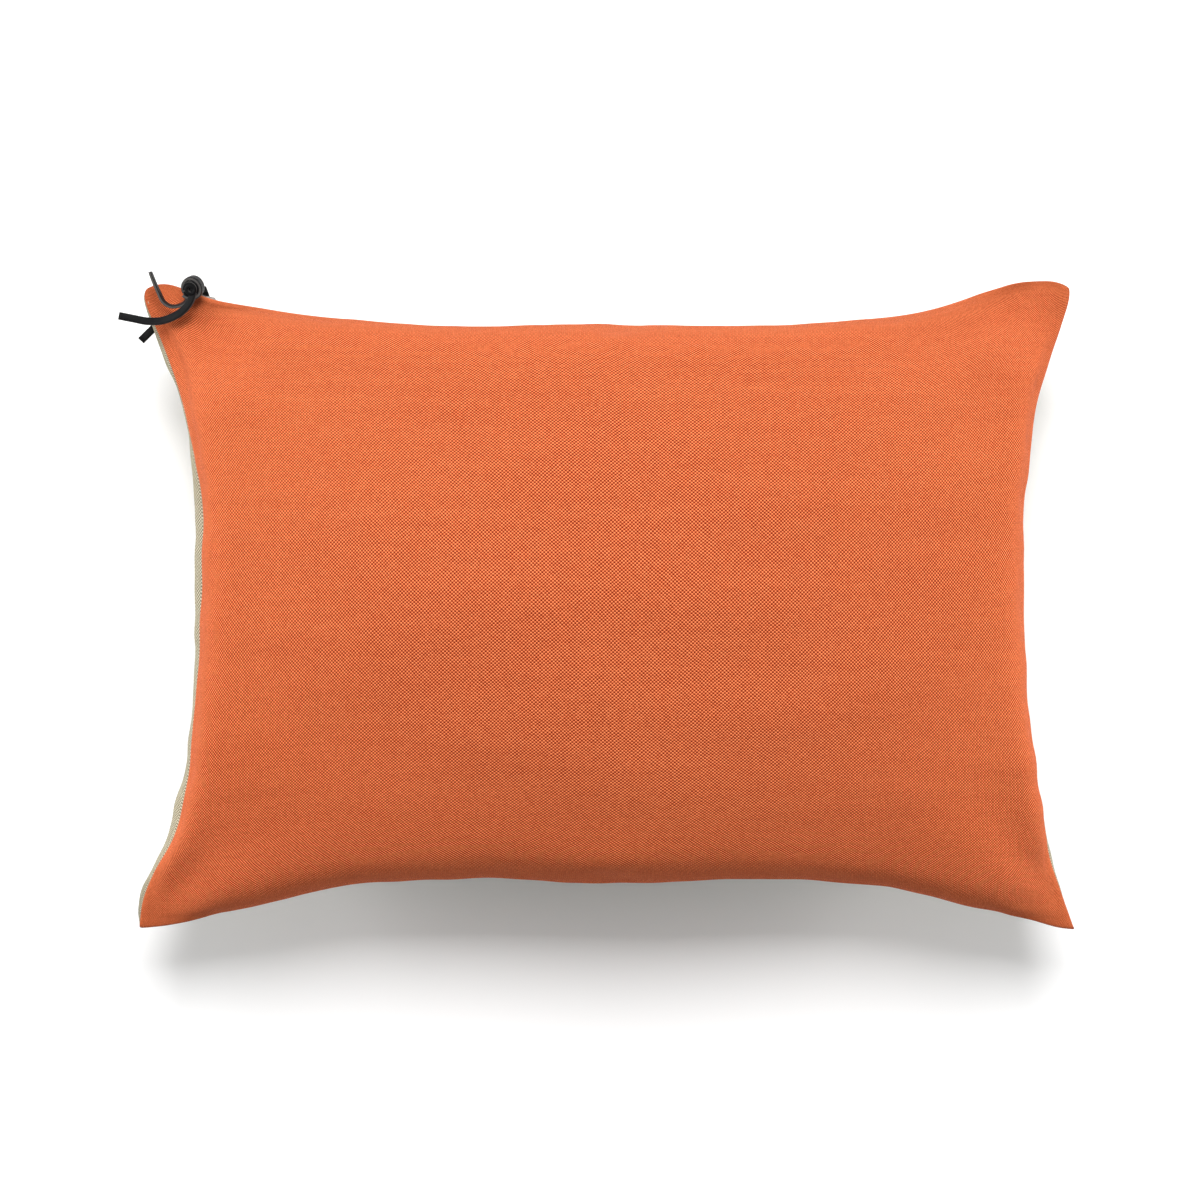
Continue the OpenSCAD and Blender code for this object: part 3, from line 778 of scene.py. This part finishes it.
def panel_mesh(name, grid, sign, hem=True):
    """One panel of the cover. Its edge turns in at the seam, and folds back under itself along the zip."""
    rows, cols = grid.shape[:2]
    verts = [tuple(p) for p in grid.reshape(-1, 3)]
    uvs = [((2 * i / NU - 1) * FLAT_W / 2, (2 * j / NV - 1) * FLAT_H / 2)
           for j in range(rows) for i in range(cols)]
    faces = []
    for j in range(rows - 1):
        for i in range(cols - 1):
            a = j * cols + i
            quad = [a, a + 1, a + 1 + cols, a + cols]
            faces.append(quad if sign > 0 else quad[::-1])
    if hem:
        loop = ([(0, i) for i in range(cols)] + [(j, cols - 1) for j in range(1, rows)]
                + [(rows - 1, i) for i in range(cols - 2, -1, -1)] + [(j, 0) for j in range(rows - 2, 0, -1)])
        n = len(loop)
        pts = np.array([grid[j, i] for j, i in loop])
        tan = np.roll(pts, -1, 0) - np.roll(pts, 1, 0)
        inward = np.stack([-tan[:, 1], tan[:, 0], 0 * tan[:, 0]], -1)
        inward /= np.linalg.norm(inward, axis=1, keepdims=True)
        for row, (depth, reach, drop) in enumerate(HEM_ROWS):
            start = len(verts)
            for k, (j, i) in enumerate(loop):
                on_zip = zip_share(pts[k][0]) if j == rows - 1 else 0.0
                x = pts[k][0]
                sewn_at = pts[k] + (inward[k] * depth + np.array((0, 0, sign * 0.12))) * MM
                tape_at = np.array((x, SIDE_Y + arc_rise(x) - HEM_IN, SEAM_Z + sign * HEM_Z * hem_share(x)))
                folded = pts[k] + (tape_at - pts[k]) * reach - np.array((0, 0, sign * drop * MM))
                verts.append(tuple(sewn_at * (1 - on_zip) + folded * on_zip))
                uvs.append((uvs[j * cols + i][0], uvs[j * cols + i][1] + depth * MM))
            before = [j * cols + i for j, i in loop] if row == 0 else list(range(start - n, start))
            for k in range(n):
                a, b = before[k], before[(k + 1) % n]
                c, d = start + (k + 1) % n, start + k
                faces.append([b, a, d, c] if sign > 0 else [a, b, c, d])
    mesh = bpy.data.meshes.new(name)
    mesh.from_pydata(verts, [], faces)
    uv = mesh.uv_layers.new(name="cloth")
    for lp in mesh.loops:
        uv.data[lp.index].uv = uvs[lp.vertex_index]
    smooth(mesh)
    return link(mesh, name)


sewn, index = loose_cover()
shape = inflate(sewn)
bpy.data.objects.remove(sewn)
front, back = grid_of(shape, index, 1), grid_of(shape, index, -1)
front, back = warp_outline(front, back)
front, back = settle(front, back)
front, back = crease(front, back)
# The cover's shape before its zipped edge is parted, for the pad.
inner = {1: front.copy(), -1: back.copy()}
front, back = part_zip(front, back)
back[..., 2] = np.maximum(back[..., 2], 0)


COVER_THICK, CASING_THICK = 0.6 * MM, 0.3 * MM
# How the casing and its filling are drawn in from the cover: shares of X, Y and Z, and the gap to the zip.
CASING_FIT = (0.955, 0.94, 0.96, 11 * MM)
FILLING_FIT = (0.947, 0.93, 0.945, 13 * MM)


def finish_cloth(ob, thickness):
    sub = ob.modifiers.new("subdivision", "SUBSURF")
    sub.levels = sub.render_levels = 1
    thick = ob.modifiers.new("thickness", "SOLIDIFY")
    thick.thickness, thick.offset = thickness, -1
    for mod in (sub.name, thick.name):
        bpy.context.view_layer.objects.active = ob
        bpy.ops.object.modifier_apply(modifier=mod)
    smooth(ob.data)


cover_front = dress(panel_mesh("cover_front_linen", front, 1), TERRACOTTA)
cover_back = dress(panel_mesh("cover_back_linen", back, -1), BEIGE)
for ob, node, slot in ((cover_front, "cover_front", "front_linen"),
                       (cover_back, "cover_back", "back_linen")):
    finish_cloth(ob, COVER_THICK)
    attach(ob, "cushion")
    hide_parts(node)


def shrunk(grid, kx, ky, kz, clear):
    """The cover's shape drawn in for what lies inside it, and kept clear of the zip's arc."""
    out = (grid - (0, 0, SEAM_Z)) * (kx, ky, kz) + (0, 0, SEAM_Z)
    from_arc = out[..., :2] - (0, ARC_Y)
    reach = np.hypot(from_arc[..., 0], from_arc[..., 1])
    kept = np.maximum(reach, ARC_R + clear)
    out[..., :2] = from_arc * (kept / reach)[..., None] + (0, ARC_Y)
    return out


def add_pad():
    """The inner pad: two cotton panels sewn together, and the fibre that fills them."""
    for sign, node in ((1, "pad_casing_front"), (-1, "pad_casing_back")):
        ob = dress(panel_mesh(node + "_cotton", shrunk(inner[sign], *CASING_FIT), sign, False), COTTON)
        finish_cloth(ob, CASING_THICK)
        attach(ob, "cushion")
        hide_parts(node)
    halves = [dress(panel_mesh("half", shrunk(inner[sign], *FILLING_FIT), sign, False), FIBRE)
              for sign in (1, -1)]
    fill = join(halves, "pad_filling_fibre")
    bm = bmesh.new()
    bm.from_mesh(fill.data)
    bmesh.ops.remove_doubles(bm, verts=bm.verts, dist=1e-4)
    bm.to_mesh(fill.data)
    bm.free()
    smooth(fill.data)
    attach(fill, "cushion")
    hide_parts("pad_filling")


add_pad()


def seam_line(inset, lift=0.0):
    """The three sewn sides as lines that run inset millimetres inside the seam."""
    lines = []
    for pts in (front[::-1, 0], front[0], front[:, -1]):
        tan = np.gradient(pts, axis=0)
        inward = np.stack([-tan[:, 1], tan[:, 0], 0 * tan[:, 0]], -1)
        inward /= np.linalg.norm(inward, axis=1, keepdims=True)
        line = pts + inward * inset * MM + (0, 0, lift * MM)
        lines.append([Vector(p) for p in line[3:-3]])
    return lines


def dense(line, step_mm):
    """The line's points again, evenly spaced."""
    pts = np.array(line)
    run = np.concatenate([[0], np.cumsum(np.linalg.norm(np.diff(pts, axis=0), axis=1))])
    at = np.linspace(0, run[-1], max(2, int(run[-1] / MM / step_mm)))
    return [Vector(np.array([np.interp(a, run, pts[:, k]) for k in range(3)])) for a in at]


ROUND = [(0.5 * cos(2 * pi * k / 6), 0.5 * sin(2 * pi * k / 6), 0) for k in range(6)]


def add_seam_trims():
    """What is inside the sewn sides: the turned-in cloth, its overlock and the lockstitches."""
    up = (0, 0, 1)
    strips = [band("strip", line, [up] * len(line), 4.6 * MM, 1.1 * MM) for line in seam_line(3.6)]
    allowance = dress(join(strips, "seam_allowance_cloth"), TERRACOTTA)
    loops = []
    for line in seam_line(5.6):
        pts = dense(line, 0.6)
        wave = [p + Vector((0, 0, 0.85 * MM * sin(i * 1.3))) + Vector((0.5 * MM * cos(i * 1.3), 0, 0))
                for i, p in enumerate(pts)]
        loops.append(band("loops", wave, [up] * len(wave), 0.45 * MM, 0.45 * MM, ROUND))
    overlock = dress(join(loops, "overlock_loops"), THREAD)
    dashes = []
    for line in seam_line(2.2, 0.75):
        pts = dense(line, 3.2)
        for i in range(len(pts) - 1):
            a, b = pts[i], pts[i] + (pts[i + 1] - pts[i]) * 0.82
            dashes.append(band("dash", [a, (a + b) / 2 + Vector((0, 0, 0.15 * MM)), b], [up] * 3,
                               0.4 * MM, 0.35 * MM, ROUND))
    stitches = dress(join(dashes, "seam_stitches"), THREAD)
    for ob, node, slot in ((allowance, "seam_allowance", "front_linen"),
                           (overlock, "overlock_thread", "thread"),
                           (stitches, "seam_thread", "thread")):
        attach(ob, "cushion")
        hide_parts(node)


add_seam_trims()


# ---------- Carried-over CAD pieces ----------

for node, mat in (("zip_teeth_front", NICKEL), ("zip_teeth_back", NICKEL), ("zip_top_stops", NICKEL),
                  ("zip_bottom_stop", NICKEL), ("zip_slider", NICKEL), ("zip_pull", NICKEL),
                  ("zip_tape_front", TAPE), ("zip_tape_back", TAPE)):
    ob = frame["nodes"][node]
    dress(ob, mat)
    for poly in ob.data.polygons:
        poly.material_index = 0


# ---------- Floor and light ----------

FLOOR_HALF = 9.0   # half the side of the floor, in metres


def add_floor():
    mesh = bpy.data.meshes.new("floor")
    s = FLOOR_HALF
    mesh.from_pydata([(-s, -s, 0), (s, -s, 0), (s, s, 0), (-s, s, 0)], [], [(0, 1, 2, 3)])
    ob = link(mesh, "floor")
    g = Graph("pale_floor")
    g.bsdf.inputs["Base Color"].default_value = (0.96, 0.96, 0.96, 1)
    # Painted light: the floor glows faintly, which lifts the shadows on it towards white.
    g.bsdf.inputs["Emission Color"].default_value = (1, 1, 1, 1)
    g.bsdf.inputs["Emission Strength"].default_value = 0.08
    g.bsdf.inputs["Roughness"].default_value = 0.9
    g.bsdf.inputs["Specular IOR Level"].default_value = 0.1
    dress(ob, g.mat)


def add_light(name, at, aim, size, power):
    data = bpy.data.lights.new(name, "AREA")
    data.energy, data.size = power, size
    ob = bpy.data.objects.new(name, data)
    ob.location = at
    ob.rotation_euler = (Vector(aim) - Vector(at)).to_track_quat("-Z", "Y").to_euler()
    scene.collection.objects.link(ob)


def add_world(strength):
    world = bpy.data.worlds.new("studio")
    world.use_nodes = True
    world.node_tree.nodes["Background"].inputs[0].default_value = (1, 1, 1, 1)
    world.node_tree.nodes["Background"].inputs[1].default_value = strength
    scene.world = world


add_floor()
add_world(0.25)
add_light("key", (0.0, 1.35, 2.05), (0, 0, 0.03), 1.25, 68)
add_light("left", (-1.6, 0.15, 0.38), (0, 0, 0.05), 0.7, 17)
add_light("right", (1.6, 0.15, 0.38), (0, 0, 0.05), 0.7, 16)
